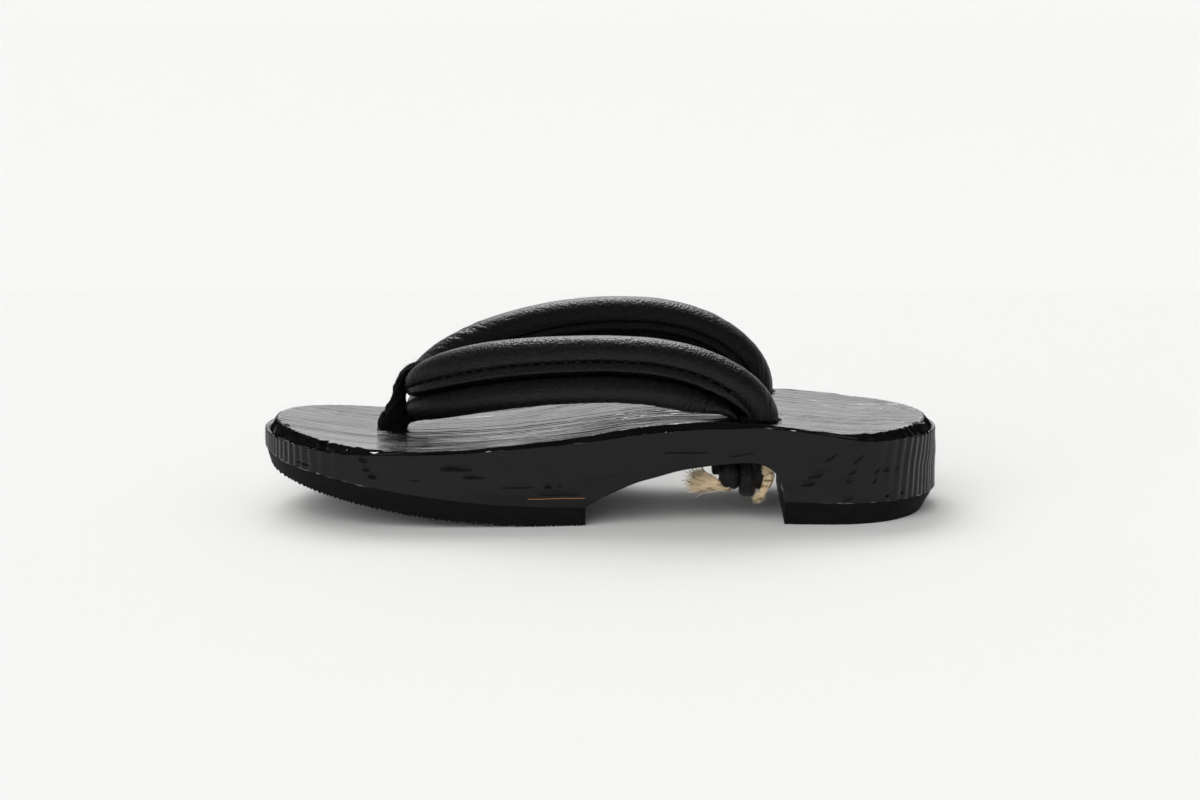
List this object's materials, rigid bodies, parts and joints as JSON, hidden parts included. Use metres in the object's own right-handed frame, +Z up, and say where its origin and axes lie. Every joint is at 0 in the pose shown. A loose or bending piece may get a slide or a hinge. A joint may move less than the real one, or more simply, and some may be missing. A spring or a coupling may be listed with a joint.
{
  "type": "geta sandal",
  "caption": "Left wooden geta sandal: low carved lacquered base with a hollow arch, rubber treads and a padded leather V strap with a cloth toe thong.",
  "frame": {"origin": "middle of the sandal's length and width, on the floor under its treads", "axes": "+X runs along the sandal to the heel, so the toe points to -X; -Y is the outer side of a left foot and +Y the inner side; +Z is up"},
  "size_m": [0.245, 0.0892, 0.0724],
  "materials": {
    "lacquered_wood": "brushed cedar grain under gloss black lacquer",
    "leather": "soft black leather with a fine pebble grain, satin",
    "thong_cloth": "black twisted cloth, matt",
    "rubber": "black foam rubber, matt and finely cut",
    "jute": "pale undyed jute, frayed"
  },
  "bodies": {
    "root": {"wood_base": "lacquered_wood", "front_tread": "rubber", "heel_tread": "rubber", "strap": "leather", "toe_thong": "thong_cloth", "strap_knot_outer": "leather", "strap_knot_inner": "leather", "cord_end_outer_front": "jute", "cord_end_outer_rear": "jute", "cord_end_inner_front": "jute", "cord_end_inner_rear": "jute"}
  },
  "joints": []
}
